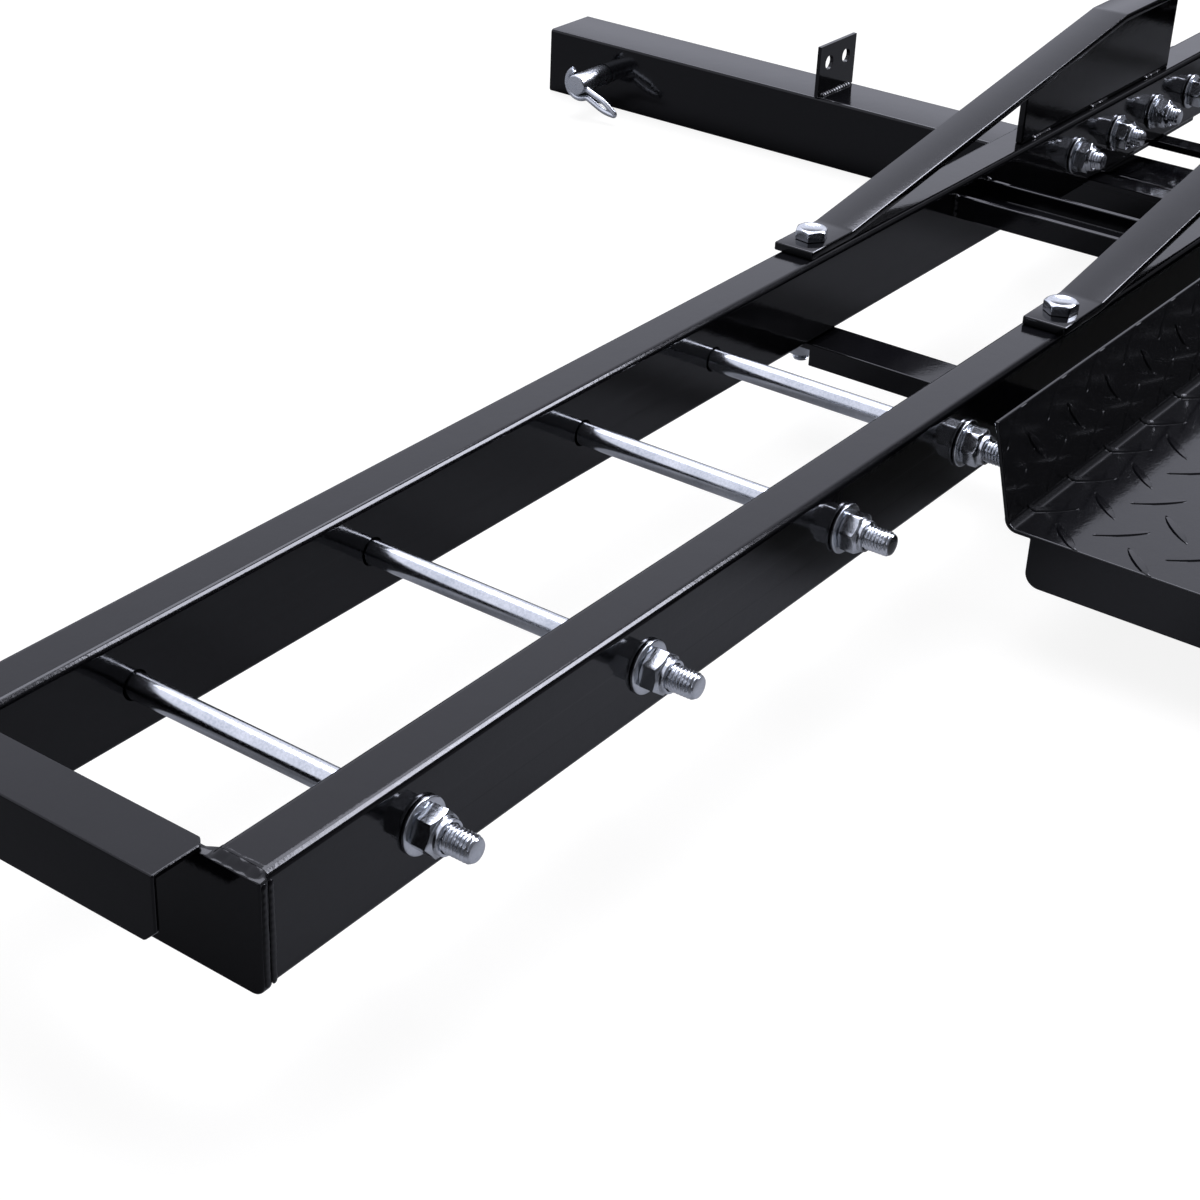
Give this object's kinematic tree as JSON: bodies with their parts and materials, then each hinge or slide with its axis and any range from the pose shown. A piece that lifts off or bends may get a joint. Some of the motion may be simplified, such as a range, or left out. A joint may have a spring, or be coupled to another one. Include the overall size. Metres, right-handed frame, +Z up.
{
  "type": "hitch motorcycle carrier",
  "caption": "Ladder track of two steel rails with rod rungs, bolted across a square hitch bar, with arched straps and a loading ramp beside it.",
  "frame": {"origin": "hitch pin axis at the middle of the hitch bar", "axes": "+X along the track, to the right when looking along the hitch bar towards its free end; +Y along the hitch bar towards its free end; +Z up"},
  "size_m": [2.1248, 0.8812, 0.1653],
  "materials": {
    "black_coat": "semi-gloss black powder coat on steel",
    "ramp_coat": "glossy black coat on diamond plate",
    "zinc": "bright zinc plate",
    "pin_zinc": "zinc plate, a little duller"
  },
  "bodies": {
    "carrier": {"rail_near_left": "black_coat", "rail_near_right": "black_coat", "rail_far_left": "black_coat", "rail_far_right": "black_coat", "end_plate_left": "black_coat", "end_plate_right": "black_coat", "hook_angle_left": "black_coat", "hook_angle_right": "black_coat", "strap_near": "black_coat", "strap_far": "black_coat", "web_near": "black_coat", "web_far": "black_coat", "cross_channel_left": "black_coat", "cross_channel_right": "black_coat", "support_angle_left": "black_coat", "support_angle_right": "black_coat", "hitch_bar": "black_coat", "bracket_angle_near": "black_coat", "bracket_angle_far": "black_coat", "tie_bar_left": "black_coat", "tie_bar_right": "black_coat", "plate_tab": "black_coat", "rung_rods": "zinc", "rung_washers": "zinc", "rung_nuts": "zinc", "strap_bolts": "zinc", "strap_washers": "zinc", "strap_nuts": "zinc", "bracket_bolts": "zinc", "bracket_washers": "zinc", "bracket_nuts": "zinc"},
    "pin": {"hitch_pin": "pin_zinc", "pin_clip": "pin_zinc"},
    "ramp": {"ramp": "ramp_coat"}
  },
  "joints": [
    {"name": "ramp_lift", "type": "slide", "parent": "carrier", "child": "ramp", "axis": [0, 0, 1], "range_m": [0, 0.15]},
    {"name": "pin_slide", "type": "slide", "parent": "carrier", "child": "pin", "axis": [1, 0, 0], "range_m": [0, 0.027]}
  ]
}
